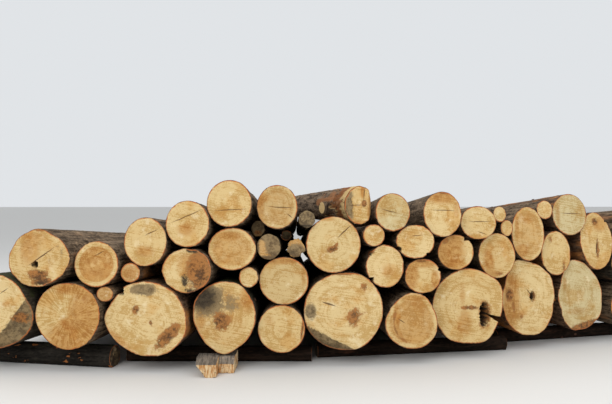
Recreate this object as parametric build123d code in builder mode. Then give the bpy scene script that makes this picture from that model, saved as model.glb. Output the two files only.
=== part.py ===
from build123d import *
import os
from math import cos, pi, radians, sin, tan

# A stack of felled round logs, laid side by side and one on another on low bearers.
# All sizes are in millimetres. X runs along the stack, Y back along the logs, Z is up.
# The butts stand near the line y = 0 and the stems run back from them.

# Stems. Each narrows by the same share of its butt, so all are slim cones with one common tip
# far behind the stack. Two stems that touch at their butts then touch all the way back.
log_length = 4000
top_share = 0.75
tip_distance = log_length / (1 - top_share)
tip_x = -400
stem_sides = 36
bark = 6
seat_gap = 0.4

# Bearers under the logs: round poles, bedded flat underneath. The thick one runs askew under the
# first two logs, and is given by the places of its ends in plan.
bearer_high = 150
thick_bearer_high = 210
bearer_bedding = 20
thick_bearer_line = ((-3455, 505), (-1885, 222))

# The other bearers: beside which log each end lies, how far to its right as a share of its
# half-width, and how far back.
bearer_ends = {
    "bearer_2": (("bottom_2", 1.25, 450), ("bottom_6", -0.75, 450)),
    "bearer_3": (("bottom_6", -0.6, 590), ("bottom_9", -0.85, 935)),
    "bearer_4": (("bottom_9", -0.65, 1270), ("bottom_11", 0.7, 1700)),
    "rear_bearer_2": (("bottom_3", -0.6, 3300), ("bottom_7", 0.6, 3400)),
    "rear_bearer_3": (("bottom_8", -0.6, 3650), ("bottom_11", 0.6, 4300)),
}

# The rear bearer under the first two logs is thicker, as they lie higher there too.
thick_rear_bearer_ends = (("bottom_1", -0.8, 3300), ("bottom_2", 0.9, 3300))

# The butts don't stand in one line: how far back they stand, along the stack.
front_line = (
    (-3500, 0),
    (-1200, 0),
    (-200, 130),
    (1050, 290),
    (1700, 530),
    (2450, 900),
    (3150, 1160),
    (3800, 1325),
    (4400, 1450),
)

# The stack is turned in plan so that the middle of its fan of stems points along Y.
stack_turn = -4

# How far a log may roll sideways to find its bed as it is laid.
roll_reach = 12
roll_step = 4
roll_finest = 0.1

# Sloping cuts at the butts: the way each faces, in degrees up from the right, how far its edge
# lies from the stem's middle, and its slope back from the butt.
slopes = {
    "bottom_1": [(-38, 190, 35)],
    "bottom_6": [(-117, 276, 35)],
    "top_5": [(0, 90, 62), (180, 105, 25)],
}

# Notches torn or cut into the rims of the butts: the way each faces, how far its tip lies from
# the stem's middle, how wide it gapes at the rim, and how far it runs back.
notches = {
    "bottom_3": [(134, 300, 130, 260)],
    "bottom_8": [(-24, 200, 60, 400)],
    "middle_7": [(-135, 150, 75, 250), (140, 165, 110, 200)],
    "middle_8": [(20, 160, 60, 200)],
    "middle_9": [(205, 150, 90, 250), (-45, 160, 60, 200)],
    "middle_10": [(50, 140, 60, 200)],
    "middle_13": [(60, 240, 120, 300)],
}

# Pits in the faces of the butts: how far right and up of the middle, how wide, high and deep.
pits = {
    "bottom_8": [(176, -94, 80, 240, 250)],
    "bottom_9": [(38, 10, 50, 100, 90)],
    "middle_1": [(-38, -66, 60, 60, 110)],
}
pit_sides = 8
pit_narrowing = 0.5
cut_clear = 5


def between(line, x):
    """Height at x of a line given by its points from left to right."""
    if x <= line[0][0]:
        return line[0][1]
    for (x0, y0), (x1, y1) in zip(line, line[1:]):
        if x <= x1:
            return y0 + (y1 - y0) * (x - x0) / (x1 - x0)
    return line[-1][1]


def hull_edge(points, side):
    """The lower (side 1) or upper (side -1) edge of the points' convex hull, from left to right."""
    edge = []
    for point in sorted(points):
        while len(edge) > 1:
            (x0, y0), (x1, y1) = edge[-2:]
            if side * ((x1 - x0) * (point[1] - y0) - (y1 - y0) * (point[0] - x0)) > 0:
                break
            edge.pop()
        edge.append(point)
    return edge


def share_at(y):
    """Size of the stack's section at y, as a share of its size at y = 0."""
    return 1 - y / tip_distance


def oval(half_across, half_high, hours=None):
    """Points round a stem's section. Hours are its reach at the clock's hours, as shares of an oval."""
    points = []
    for side in range(stem_sides):
        turn = side / stem_sides
        reach = 1
        if hours:
            hour = int(turn * 12)
            blend = (1 - cos(pi * (turn * 12 - hour))) / 2
            reach = hours[hour] * (1 - blend) + hours[(hour + 1) % 12] * blend
        points.append((half_across * reach * sin(2 * pi * turn), half_high * reach * cos(2 * pi * turn)))
    return points


class Log:
    """A log: the place of its butt along the stack, its size under the bark, and its outline."""

    def __init__(self, name, x, across, high, hours=None, back=0):
        self.name = name
        self.y = between(front_line, x) + back
        share = share_at(self.y)
        self.x = tip_x + (x - tip_x) / share
        self.z = 0
        self.points = oval((across / 2 + bark) / share, (high / 2 + bark) / share, hours)
        self.lower = hull_edge(self.points, 1)
        self.upper = hull_edge(self.points, -1)
        self.left = self.lower[0][0]
        self.right = self.lower[-1][0]


def rest_height(log, x, laid):
    """Height of a log's middle when it rests on the laid ones at x."""
    height = bearer_high + seat_gap - min(z for u, z in log.lower)
    for other in laid:
        shift = x - other.x
        start = max(log.left, other.left - shift)
        end = min(log.right, other.right - shift)
        if start < end:
            marks = [u for u, z in log.lower] + [u - shift for u, z in other.upper] + [start, end]
            for u in marks:
                if start <= u <= end:
                    room = other.z + between(other.upper, u + shift) - between(log.lower, u)
                    height = max(height, room + seat_gap)
    return height


def lay_on_bearer(log, laid, lift):
    """Lay a log on its bearer, to the right of the last one and no nearer than its bark allows."""
    log.z = bearer_high + lift + seat_gap - min(z for u, z in log.lower)
    while rest_height(log, log.x, laid) > log.z + roll_finest / 2:
        log.x += roll_finest


def lay_in_bed(log, laid):
    """Let a log down on the laid ones and roll it to the lowest place within its reach."""
    steps = int(roll_reach / roll_step)
    places = [log.x + roll_step * step for step in range(-steps, steps + 1)]
    places.sort(key=lambda place: abs(place - log.x))
    best = min(places, key=lambda place: rest_height(log, place, laid))
    step = roll_step / 2
    while step > roll_finest:
        best = min((best, best - step, best + step), key=lambda place: rest_height(log, place, laid))
        step = step / 2
    log.x = best
    log.z = rest_height(log, best, laid)


# The logs in the order in which they are laid, with the reach of the uneven ones at the clock's
# twelve hours, from the top round to the right, as shares of an oval.
thick_bearer_row = [
    Log("bottom_1", -2990, 765, 715),
    Log("bottom_2", -2285, 655, 635, (0.98, 1, 1, 0.99, 0.97, 1, 1, 0.96, 0.96, 0.99, 1, 1)),
]
bearer_row = [
    Log("bottom_3", -1535, 810, 720, (0.99, 0.97, 0.96, 0.98, 1.04, 1.04, 0.98, 0.93, 0.94, 1.01, 0.92, 0.99)),
    Log("bottom_4", -788, 615, 685, (1, 1.03, 1, 1, 0.97, 0.95, 1.04, 0.94, 0.89, 0.97, 1.03, 1)),
    Log("bottom_5", -238, 455, 460),
    Log("bottom_6", 342, 790, 790, (0.97, 1.03, 1.02, 1, 0.98, 1, 0.97, 0.98, 0.98, 0.98, 1, 0.97)),
    Log("bottom_7", 1055, 545, 565, (0.98, 0.99, 0.93, 0.97, 1.04, 1.03, 0.98, 0.97, 1, 0.98, 0.88, 0.9)),
    Log("bottom_8", 1675, 785, 785, (1, 1.01, 1.1, 1, 0.98, 1.06, 0.97, 1, 0.95, 0.97, 0.97, 0.96)),
    Log("bottom_9", 2455, 605, 800, (0.99, 1.01, 1.09, 0.98, 1.06, 1.06, 1, 1.03, 1.07, 0.96, 1.07, 1.18)),
    Log("bottom_10", 3155, 560, 800, (1, 0.9, 0.94, 1, 1.06, 0.93, 0.93, 1.05, 1.07, 0.97, 1.1, 1.16)),
    Log("bottom_11", 3770, 500, 510),
]
upper_rows = [
    Log("small_1", -1907, 163, 138),
    Log("middle_1", -2560, 640, 565, (1, 0.93, 0.95, 1, 0.97, 0.95, 0.97, 1.01, 1, 0.98, 0.93, 0.97)),
    Log("middle_2", -2000, 435, 430),
    Log("small_2", -1655, 185, 180),
    Log("middle_3", -1145, 485, 430),
    Log("small_3", -570, 180, 195),
    Log("middle_5", -230, 475, 455),
    Log("middle_4", -720, 455, 405),
    Log("middle_6", 285, 535, 550),
    Log("middle_7", 765, 390, 430, (1, 1, 1, 1, 1, 1, 0.98, 0.95, 0.95, 0.98, 0.95, 0.96)),
    Log("middle_8", 1162, 384, 345),
    Log("middle_10", 1560, 385, 355),
    Log("middle_11", 2020, 418, 475),
    Log("middle_12", 2825, 375, 475, (1, 1, 0.98, 1, 1.05, 1.07, 1.08, 1.07, 1.05, 1, 0.98, 1)),
    Log("middle_14", 3755, 410, 430),
    Log("middle_13", 3330, 455, 660, (0.95, 0.88, 0.93, 0.99, 1.03, 1.05, 1.04, 1, 0.96, 1, 0.9, 1)),
    Log("small_8", 690, 215, 215),
    Log("middle_9", 1095, 400, 340),
    Log("small_5", -365, 225, 245),
    Log("small_6", -110, 185, 190),
    Log("small_12", -190, 115, 115, back=400),
    Log("top_1", -1545, 410, 460),
    Log("top_2", -1145, 415, 440),
    Log("small_4", -500, 135, 165, back=260),
    Log("top_3", -726, 430, 450),
    Log("top_4", -290, 390, 425),
    Log("small_7", 20, 160, 160),
    Log("top_6", 875, 345, 375),
    Log("top_7", 1410, 405, 465),
    Log("top_8", 1825, 395, 345),
    Log("small_10", 2145, 140, 170),
    Log("top_9", 2425, 395, 590),
    Log("small_9", 2090, 145, 165),
    Log("top_10", 2990, 445, 465),
    Log("small_11", 2640, 195, 205),
    Log("top_11", 3850, 440, 450),
]

# Split pieces pushed in under the fourth log's butt, side by side. They meet a little to the left
# of its middle. Each has its width, the lean of its left side, where its front lies, the height of
# its front edge, and how far back its top has risen to the log.
offcut_join = -38
offcut_long = 330
left_offcut = (212, 110, -180, 120, 150)
right_offcut = (150, 0, -34, 90, 55)

# The log that lies askew across the top, its top end off to the left.
skew_x = 530
skew_across = 305
skew_high = 393
skew_heading = 12
skew_stations = 40
skew_balance = 0.43

# The cut-off limb on the skew log's left side.
limb_along = 850
limb_reach = 235
limb_radius = 32
limb_turn = 222

laid = []
for log in thick_bearer_row:
    thick_lift = (thick_bearer_high - bearer_high) / share_at(between(thick_bearer_line, log.x))
    lay_on_bearer(log, laid, thick_lift)
    laid.append(log)
for log in bearer_row:
    lay_on_bearer(log, laid, 0)
    laid.append(log)
for log in upper_rows:
    lay_in_bed(log, laid)
    laid.append(log)


def cut_butt(name, butt, rim):
    """Cut a log's slopes, notches and pits into its butt, inside the log's builder."""
    for facing, edge, slope in slopes.get(name, []):
        way = butt.x_dir.rotate(Axis((0, 0, 0), butt.z_dir), facing)
        lean = butt.z_dir * cos(radians(slope)) + way * sin(radians(slope))
        split(bisect_by=Plane(origin=butt.origin + way * edge, z_dir=lean), keep=Keep.BOTTOM)
    for facing, tip, gape, back in notches.get(name, []):
        way = butt.x_dir.rotate(Axis((0, 0, 0), butt.z_dir), facing)
        start = butt.origin + butt.z_dir * cut_clear
        spread = (2 * rim - tip) / (rim - tip)
        mouth = start + way * 2 * rim
        half = butt.z_dir.cross(way) * gape / 2 * spread
        end = mouth - butt.z_dir * back * spread
        ConvexPolyhedron([start + way * tip, mouth + half, mouth - half, end], mode=Mode.SUBTRACT)
    for right, up, across, high, deep in pits.get(name, []):
        corners = []
        for depth, size in ((-cut_clear, 1), (deep, pit_narrowing)):
            for side in range(pit_sides):
                turn = 2 * pi * side / pit_sides
                u = right + across / 2 * size * cos(turn)
                v = up + high / 2 * size * sin(turn)
                corners.append(butt.from_local_coords(Vector(u, v, -depth)))
        ConvexPolyhedron(corners, mode=Mode.SUBTRACT)


def stem(log):
    """Build a log: the cone over its outline between a squared butt and a squared top end."""
    tip = Vector(tip_x, tip_distance, bearer_high)
    middle = Vector(log.x, 0, log.z)
    line = (tip - middle).normalized()
    butt = middle + (tip - middle) * (log.y / tip_distance)
    corners = []
    for centre in (butt, butt + line * log_length):
        for across, up in log.points:
            ray = Vector(log.x + across, 0, log.z + up) - tip
            corners.append(tip + ray * ((centre - tip).dot(line) / ray.dot(line)))
    across_butt = Vector(0, 0, 1).cross(-line)
    with BuildPart() as body:
        ConvexPolyhedron(corners)
        cut_butt(log.name, Plane(origin=butt, x_dir=across_butt, z_dir=-line), log.right * share_at(log.y))
    return body.part


def stack_top(x, y):
    """Height of the laid logs at a place in plan."""
    share = share_at(y)
    across = tip_x + (x - tip_x) / share
    tops = [0]
    for other in laid:
        if other.left <= across - other.x <= other.right:
            tops.append(other.z + between(other.upper, across - other.x))
    return bearer_high + (max(tops) - bearer_high) * share


def skew_stem():
    """Build the log that lies askew, let down until two places along it touch the stack."""
    start = between(front_line, skew_x)
    slope = tan(radians(skew_heading))
    needs = []
    for station in range(skew_stations + 1):
        along = log_length * station / skew_stations
        size = 1 - (1 - top_share) * along / log_length
        heights = []
        for across, up in oval(skew_across / 2 * size, skew_high / 2 * size):
            heights.append(stack_top(skew_x - along * slope + across, start + along) - up)
        needs.append((along, max(heights) + seat_gap))
    beds = hull_edge(needs, -1)
    balance = log_length * skew_balance
    rests = [pair for pair in zip(beds, beds[1:]) if pair[0][0] <= balance <= pair[1][0]]
    (near, near_height), (far, far_height) = rests[0]
    rise = (far_height - near_height) / (far - near)
    corners = []
    for along, size in ((0, 1), (log_length, top_share)):
        height = near_height + rise * (along - near)
        for across, up in oval(skew_across / 2 * size, skew_high / 2 * size):
            corners.append((skew_x - along * slope + across, start + along, height + up))
    butt_height = near_height - rise * near
    limb_root = Vector(skew_x - limb_along * slope, start + limb_along, butt_height + rise * limb_along)
    limb_way = Vector(cos(radians(limb_turn)), sin(radians(limb_turn)), 0)
    with BuildPart() as body:
        ConvexPolyhedron(corners)
        with BuildSketch(Plane(origin=limb_root, z_dir=limb_way)):
            Circle(limb_radius)
        extrude(amount=limb_reach)
        butt = Plane(origin=(skew_x, start, butt_height), x_dir=(1, 0, 0), z_dir=(0, -1, 0))
        cut_butt("top_5", butt, skew_across / 2)
    return body.part


def bearer(left, right, high):
    """Build a bearer between two places in plan: a pole with its underside bedded flat."""
    radius = (high + bearer_bedding) / 2
    start = Vector(left[0], left[1], high - radius)
    run = Vector(right[0] - left[0], right[1] - left[1], 0)
    with BuildPart() as body:
        with BuildSketch(Plane(origin=start, z_dir=run.normalized())):
            Circle(radius)
        extrude(amount=run.length)
        split(bisect_by=Plane.XY, keep=Keep.TOP)
    return body.part


def place_under(name, side, y):
    """A place in plan at the given depth, under a log's middle or towards its side."""
    log = by_name[name]
    return tip_x + (log.x + side * log.right - tip_x) * share_at(y), y


def offcut(left, right, lean, front, edge_high, rise):
    """Build a split piece pushed in under a log: its left side leans and its top slopes up to the log."""
    with BuildPart() as body:
        with BuildSketch(Plane.XZ.offset(-front)):
            with BuildLine():
                Polyline((left, bearer_high), (right, bearer_high), (right, 0), (left + lean, 0), close=True)
            make_face()
        extrude(amount=-offcut_long)
        slope = Plane(origin=(0, front, edge_high), z_dir=(0, edge_high - bearer_high, rise))
        split(bisect_by=slope, keep=Keep.BOTTOM)
    return body.part


by_name = {log.name: log for log in laid}
parts = {log.name: stem(log) for log in laid}
parts["top_5"] = skew_stem()
parts["bearer_1"] = bearer(thick_bearer_line[0], thick_bearer_line[1], thick_bearer_high)
left_end, right_end = thick_rear_bearer_ends
thick_rear_high = bearer_high + thick_lift * share_at(left_end[2])
parts["rear_bearer_1"] = bearer(place_under(*left_end), place_under(*right_end), thick_rear_high)
for name, (left_end, right_end) in bearer_ends.items():
    parts[name] = bearer(place_under(*left_end), place_under(*right_end), bearer_high)
join = by_name["bottom_4"].x + offcut_join
parts["offcut_1"] = offcut(join - seat_gap - left_offcut[0], join - seat_gap, *left_offcut[1:])
parts["offcut_2"] = offcut(join, join + right_offcut[0], *right_offcut[1:])

# Turn the stack and set its base on the ground at the middle of its box.
turned = {name: part.rotate(Axis.Z, stack_turn) for name, part in parts.items()}
boxes = [part.bounding_box() for part in turned.values()]
middle_x = (min(box.min.X for box in boxes) + max(box.max.X for box in boxes)) / 2
middle_y = (min(box.min.Y for box in boxes) + max(box.max.Y for box in boxes)) / 2
shift = Vector(-middle_x, -middle_y, -min(box.min.Z for box in boxes))

os.makedirs("parts", exist_ok=True)
for name, part in turned.items():
    placed = part.translate(shift)
    placed.label = name
    export_step(placed, f"parts/{name}.step")
print("Moved by", shift, "after the turn")
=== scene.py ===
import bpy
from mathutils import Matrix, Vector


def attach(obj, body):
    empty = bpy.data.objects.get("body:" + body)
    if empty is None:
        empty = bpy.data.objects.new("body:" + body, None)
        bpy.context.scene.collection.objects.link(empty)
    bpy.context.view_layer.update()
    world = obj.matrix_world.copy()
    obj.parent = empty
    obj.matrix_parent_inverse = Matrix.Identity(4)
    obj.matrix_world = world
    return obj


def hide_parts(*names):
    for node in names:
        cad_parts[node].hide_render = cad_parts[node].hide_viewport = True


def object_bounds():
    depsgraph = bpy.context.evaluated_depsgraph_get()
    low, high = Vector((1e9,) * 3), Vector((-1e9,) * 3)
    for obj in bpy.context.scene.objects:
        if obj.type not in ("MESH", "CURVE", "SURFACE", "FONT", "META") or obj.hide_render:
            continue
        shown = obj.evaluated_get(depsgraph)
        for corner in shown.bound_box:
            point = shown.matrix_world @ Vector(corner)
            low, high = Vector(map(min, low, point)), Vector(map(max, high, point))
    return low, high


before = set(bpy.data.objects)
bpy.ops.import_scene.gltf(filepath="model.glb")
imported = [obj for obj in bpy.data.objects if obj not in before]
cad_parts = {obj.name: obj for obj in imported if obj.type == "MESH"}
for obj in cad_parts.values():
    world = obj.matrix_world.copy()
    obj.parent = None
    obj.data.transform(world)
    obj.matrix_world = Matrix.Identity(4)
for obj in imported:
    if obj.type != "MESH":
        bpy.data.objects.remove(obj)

"""The looks of the log stack: sawn butts, bark, bearers and split pieces over the solids.

All lengths are in metres unless a name says otherwise. Places on a butt are given in
millimetres right and up of the stem's middle, as seen from the front.
"""

import logging
from dataclasses import dataclass
from enum import Enum, IntEnum
from functools import partial, reduce
from math import cos, pi, radians, sin, tan
from typing import Sequence, Union

import bmesh
import bpy
import numpy as np
from bpy.types import Material, Mesh, NodeOutputs, NodeSocket as Socket, NodeTree, Object
from mathutils import Vector, noise

logging.basicConfig(level=logging.INFO, format="%(message)s")
LOG = logging.getLogger("stack")

CAD_BOX = [list(corner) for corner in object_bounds()]
BOX_MARGIN = 0.0005

# How the stack was turned and moved as it was packed.
STACK_TURN = radians(-4)
STACK_MOVE = Vector((-0.359997, -2.44031, 0))

LOG_LENGTH = 4.0
MM = 0.001
BODY = "root"

# The relief of bark and of sawn faces, in mm, and how much fuller a stem is halfway along.
FINE_RELIEF = 7.0
WIDE_RELIEF = 6.0
RELIEF_OUT = 6.0
FACE_RELIEF = 5.0
FULLNESS = 9.0

# The kind and the entry of a mesh attribute by how many numbers each corner has.
ATTRIBUTE_KINDS = {1: ("FLOAT", "value"), 3: ("FLOAT_VECTOR", "vector"), 4: ("FLOAT_COLOR", "color")}

Array = np.ndarray
Input = Union[float, tuple, Socket]


def in_stack(x: float, y: float, z: float) -> Vector:
    """Give a place in the stack's own frame its place in the stored frame.

    Args:
        x: Distance along the stack.
        y: Distance back along the logs.
        z: Height over the ground.

    Returns:
        The place after the stack is turned and moved.
    """
    c, s = cos(STACK_TURN), sin(STACK_TURN)
    return Vector((x * c - y * s, x * s + y * c, z)) + STACK_MOVE


# The tip that all stems but the skew one taper to.
TIP = in_stack(-0.4, 16.0, 0.15)


def turned(u: Array, v: Array, turn: float) -> tuple:
    """Give places on a butt as seen along a direction.

    Args:
        u: Distances right.
        v: Distances up.
        turn: The direction, in degrees up from the right.

    Returns:
        The distances along the direction and off it, to its left.
    """
    c, s = cos(radians(turn)), sin(radians(turn))
    return u * c + v * s, v * c - u * s


class Stains(Enum):
    """The channel of the stain_and_shade attribute that each mark is painted in. The black channel also holds
    painted shade.
    """

    ROT = 0
    GREY = 1
    BLACK = 2
    BROWN = 3


class Zone(IntEnum):
    """The part of a round piece that a corner or a ring of corners lies on."""

    FACE = 0
    SIDE = 1
    END = 2


class Wood(Enum):
    """The colour of a butt's sound wood, in linear light."""

    STRAW = (0.60, 0.435, 0.20)
    CREAM = (0.63, 0.47, 0.23)
    TAN = (0.50, 0.305, 0.12)
    # Nearly black, for the bearers' ends.
    NEAR_BLACK = (0.045, 0.033, 0.022)
    DUSKY = (0.22, 0.14, 0.07)
    GREY = (0.25, 0.20, 0.125)
    HONEY = (0.525, 0.38, 0.175)
    PALE = (0.535, 0.435, 0.235)
    WHEAT = (0.585, 0.437, 0.21)


@dataclass(frozen=True)
class Oval:
    """An oval on a butt.

    Args:
        right: Its middle's distance right of the stem's middle, in mm.
        up: Its middle's distance up from the stem's middle, in mm.
        across: Its width, in mm.
        high: Its height, in mm.
    """

    right: float
    up: float
    across: float
    high: float

    def reach(self, u: Array, v: Array, turn: float = 0.0) -> Array:
        """Give how far places lie from its middle, 1 on its line. It may be turned, in degrees."""
        along, off = turned(u - self.right * MM, v - self.up * MM, turn)
        return np.hypot(along / (self.across * MM / 2), off / (self.high * MM / 2))


@dataclass(frozen=True)
class Stain(Oval):
    """An oval mark on a butt: mostly the wood's own stains, and a few black ones of painted shade.

    Args:
        strength: How strong it is at its middle, from 0 to 1.
        turn: How far it is turned, in degrees.
        kind: What the stain is.
    """

    strength: float = 1.0
    turn: float = 0.0
    kind: Stains = Stains.ROT

    def shade(self, u: Array, v: Array) -> Array:
        """Give the stain's strength at places on the butt, 0 well outside it."""
        return self.strength * np.clip(1.5 - self.reach(u, v, self.turn), 0, 1)


class Cut:
    """A cut into the butt. The deeper it is, the stronger its mark, up to deepest_stain_and_shade: a slope's
    mark is its cut wood's own colour, a notch's or a pit's is painted shade in black.
    """

    # Painted shade: notches and pits are painted black, darker the deeper they go.
    kind = Stains.BLACK
    deepest_stain_and_shade = 0.9
    deep_at = 0.05

    def shade(self, u: Array, v: Array) -> Array:
        """Give the strength of the cut's mark at places on the butt; in a notch or a pit it is painted shade.
        """
        return np.clip(self.depth(u, v) / self.deep_at, 0, self.deepest_stain_and_shade)


@dataclass(frozen=True)
class Slope(Cut):
    """A sloping cut that takes a strip off the butt.

    Args:
        facing: The way it faces, in degrees up from the right.
        edge: Its edge's distance from the stem's middle, in mm.
        slope: Its slope back from the butt, in degrees.
        kind: The stain of the wood in the cut.
    """

    facing: float
    edge: float
    slope: float
    kind: Stains = Stains.GREY
    deepest_stain_and_shade = 1.0
    deep_at = 0.006

    def depth(self, u: Array, v: Array) -> Array:
        """Give how deep the cut is at places on the butt."""
        out = turned(u, v, self.facing)[0] - self.edge * MM
        return np.clip(out, 0, None) * tan(radians(self.slope))


@dataclass(frozen=True)
class Notch(Cut):
    """A notch torn or cut into the rim of the butt.

    Args:
        facing: The way it faces, in degrees up from the right.
        tip: Its tip's distance from the stem's middle, in mm.
        gape: Its width at the rim, in mm.
        back: How far back it runs at the rim, in mm.
        rim: The rim's distance from the stem's middle there, in mm.
    """

    facing: float
    tip: float
    gape: float
    back: float
    rim: float
    wall = 0.01

    def depth(self, u: Array, v: Array) -> Array:
        """Give how deep the notch is at places on the butt.

        Args:
            u: Distances right of the middle.
            v: Distances up from the middle.

        Returns:
            The depths, 0 outside the notch.
        """
        along, off = turned(u, v, self.facing)
        out = (along - self.tip * MM) / ((self.rim - self.tip) * MM)
        half = np.clip(out, 0, None) * self.gape * MM / 2
        inside = np.clip((half - np.abs(off)) / self.wall, 0, 1)
        return inside * np.clip(out, 0, 1.2) * self.back * MM


@dataclass(frozen=True)
class Pit(Oval, Cut):
    """A pit in the face of the butt.

    Args:
        deep: Its depth, in mm.
    """

    deep: float

    def depth(self, u: Array, v: Array) -> Array:
        """Give how deep the pit is at places on the butt."""
        return np.clip((1.1 - self.reach(u, v)) * 2.5, 0, 1) * self.deep * MM


@dataclass(frozen=True)
class Crack:
    """A straight drying crack across the butt.

    Args:
        right: Its middle's distance right of the stem's middle, in mm.
        up: Its middle's distance up from the stem's middle, in mm.
        length: Its length, in mm.
        turn: Its direction, in degrees up from the right.
        width: Its width at its middle, in mm.
    """

    right: float
    up: float
    length: float
    turn: float
    width: float = 4.5

    def marks(self, u: Array, v: Array) -> Array:
        """Give each place's distance off the crack, its share along it, and the crack's width."""
        along, off = turned(u - self.right * MM, v - self.up * MM, self.turn)
        return np.stack([off, along / (self.length * MM / 2), np.full_like(off, self.width * MM)], axis=-1)


# The crack far off the butt that stands in where a butt has fewer than two, and how far
# off the cracks are put on bark and top ends.
NO_CRACK = Crack(0, 5000, 1, 0, 1)
FAR_OFF = 9.0

# How grey the top ends are, and the direction of the saw marks in degrees.
END_GREY = 0.35
SAW_TURN = 80.0


@dataclass(frozen=True)
class Traits:
    """How one butt looks.

    Args:
        wood: The colour of its sound wood.
        pith: The pith's place right and up of the middle, in mm.
        heart: The strength of the darker heartwood.
        sapwood: The width of the sapwood, in mm.
        cuts: Its slopes, notches and pits.
        stains: Its stains, and a few black ovals of painted shade.
        cracks: Its cracks, two at most.
        ragged: How uneven its rim is, in mm.
        rays: The strength of the streaks that run out from the pith.
        worn: How far in from the rim the inner bark's colour is worn off, in mm.
    """

    wood: Wood = Wood.STRAW
    pith: tuple = (0, 0)
    heart: float = 0.1
    sapwood: float = 60.0
    cuts: Sequence[Cut] = ()
    stains: Sequence[Stain] = ()
    cracks: Sequence[Crack] = ()
    ragged: float = 4.0
    rays: float = 0.12
    worn: float = 0.0

    def stained_and_shaded(self, u: Array, v: Array, edges: Array, zones: Array) -> Array:
        """Give the strength of each kind of mark at corners: stains, with painted shade in the black channel.

        Args:
            u: The corners' distances right of the middle.
            v: Their distances up from the middle.
            edges: Their distances in from the rim.
            zones: Their zones.

        Returns:
            A row for each corner, with a channel for each kind.
        """
        stain_and_shade = np.zeros((len(u), len(Stains)))
        stain_and_shade[:, Stains.BROWN.value] = self.heart * np.clip((edges - self.sapwood * MM) / 0.02 + 0.5, 0, 1)
        for mark in (*self.stains, *self.cuts):
            channel = stain_and_shade[:, mark.kind.value]
            np.maximum(channel, mark.shade(u, v) * (zones == Zone.FACE), out=channel)
        stain_and_shade[zones == Zone.END, Stains.GREY.value] = END_GREY
        return stain_and_shade


class NodeWriter:
    """Writes the nodes of one tree."""

    def __init__(self, tree: NodeTree) -> None:
        """Take the tree that the nodes go into."""
        self.tree = tree

    def plug(self, socket: Socket, value: Input) -> None:
        """Link a socket to another one, or set it to a value.

        Args:
            socket: The input socket.
            value: An output socket, a number or a colour.
        """
        if isinstance(value, Socket):
            self.tree.links.new(value, socket)
        elif isinstance(value, tuple) and len(value) == 3 and len(socket.default_value) == 4:
            socket.default_value = (*value, 1.0)
        else:
            socket.default_value = value

    def node(self, kind: str, inputs: dict, output: Union[int, str] = 0, **settings: object) -> Socket:
        """Add a node.

        Args:
            kind: The node's type.
            inputs: What goes into its sockets, by their names or numbers.
            output: The name or number of the output.
            settings: The node's own settings.

        Returns:
            The output.
        """
        node = self.tree.nodes.new(kind)
        for name, value in settings.items():
            setattr(node, name, value)
        for name, value in inputs.items():
            self.plug(node.inputs[name], value)
        return node.outputs[output]


class MaterialWriter(NodeWriter):
    """Writes one material's nodes."""

    def __init__(self, name: str) -> None:
        """Start a material with a Principled shader.

        Args:
            name: The material's name.
        """
        self.material = bpy.data.materials.new(name)
        self.material.use_nodes = True
        super().__init__(self.material.node_tree)
        self.shader = self.tree.nodes["Principled BSDF"]

    def attribute(self, name: str) -> NodeOutputs:
        """Read a mesh attribute."""
        return self.node("ShaderNodeAttribute", {}, attribute_name=name).node.outputs

    def parts(self, vector: Socket) -> NodeOutputs:
        """Split a vector into its three parts."""
        return self.node("ShaderNodeSeparateXYZ", {0: vector}).node.outputs

    def upward(self) -> Socket:
        """Read how far the surface faces up, 1 where it lies level."""
        return self.parts(self.node("ShaderNodeNewGeometry", {}, "Normal"))[2]

    def math(self, operation: str, a: Input, b: Input = 0.0, clamp: bool = False) -> Socket:
        """Work out one number from one or two."""
        return self.node("ShaderNodeMath", {0: a, 1: b}, operation=operation, use_clamp=clamp)

    def add(self, *values: Input) -> Socket:
        """Add up numbers."""
        return reduce(partial(self.math, "ADD"), values)

    def times(self, a: Input, b: Input) -> Socket:
        """Multiply two numbers."""
        return self.math("MULTIPLY", a, b)

    def sway(self, pattern: Socket, share: Input) -> Socket:
        """Shift a pattern's middle from 0.5 to 0 and scale it."""
        return self.times(self.math("SUBTRACT", pattern, 0.5), share)

    def stretch(self, vector: Socket, scale: tuple) -> Socket:
        """Scale a vector's three parts."""
        return self.node("ShaderNodeVectorMath", {0: vector, 1: scale}, operation="MULTIPLY")

    def noise(self, vector: Socket, scale: float, detail: float = 3.0, rough: float = 0.55) -> Socket:
        """Read noise, from 0 to 1."""
        inputs = {"Vector": vector, "Scale": scale, "Detail": detail, "Roughness": rough}
        return self.node("ShaderNodeTexNoise", inputs)

    def line_noise(self, distance: Socket, scale: float) -> Socket:
        """Read noise along one line, from 0 to 1."""
        return self.node("ShaderNodeTexNoise", {"W": distance, "Scale": scale}, noise_dimensions="1D")

    def ease(self, value: Socket, low: float, high: float, to_low: float = 0.0,
             to_high: float = 1.0) -> Socket:
        """Map a number smoothly from one range to another."""
        inputs = {"Value": value, "From Min": low, "From Max": high, "To Min": to_low, "To Max": to_high}
        return self.node("ShaderNodeMapRange", inputs, interpolation_type="SMOOTHSTEP")

    def blend(self, share: Input, a: Input, b: Input, mode: str = "MIX") -> Socket:
        """Blend two colours."""
        return self.node("ShaderNodeMix", {0: share, 6: a, 7: b}, 2, data_type="RGBA", blend_type=mode)

    def tone(self, colour: Input, by: Input) -> Socket:
        """Multiply a colour by another one."""
        return self.blend(1.0, colour, by, "MULTIPLY")

    def shine(self, colour: Input, height: Socket, roughness: Input, strength: float, distance: float,
              gloss: float = 0.25) -> Material:
        """Finish the material.

        Args:
            colour: Its colour.
            height: The height of its bumps.
            roughness: How rough it is.
            strength: The bumps' strength.
            distance: The bumps' size.
            gloss: The strength of its highlights.

        Returns:
            The finished material.
        """
        bump = self.node("ShaderNodeBump", {"Strength": strength, "Distance": distance, "Height": height})
        inputs = {"Base Color": colour, "Roughness": roughness, "Normal": bump, "Specular IOR Level": gloss}
        for name, value in inputs.items():
            self.plug(self.shader.inputs[name], value)
        return self.material


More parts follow.
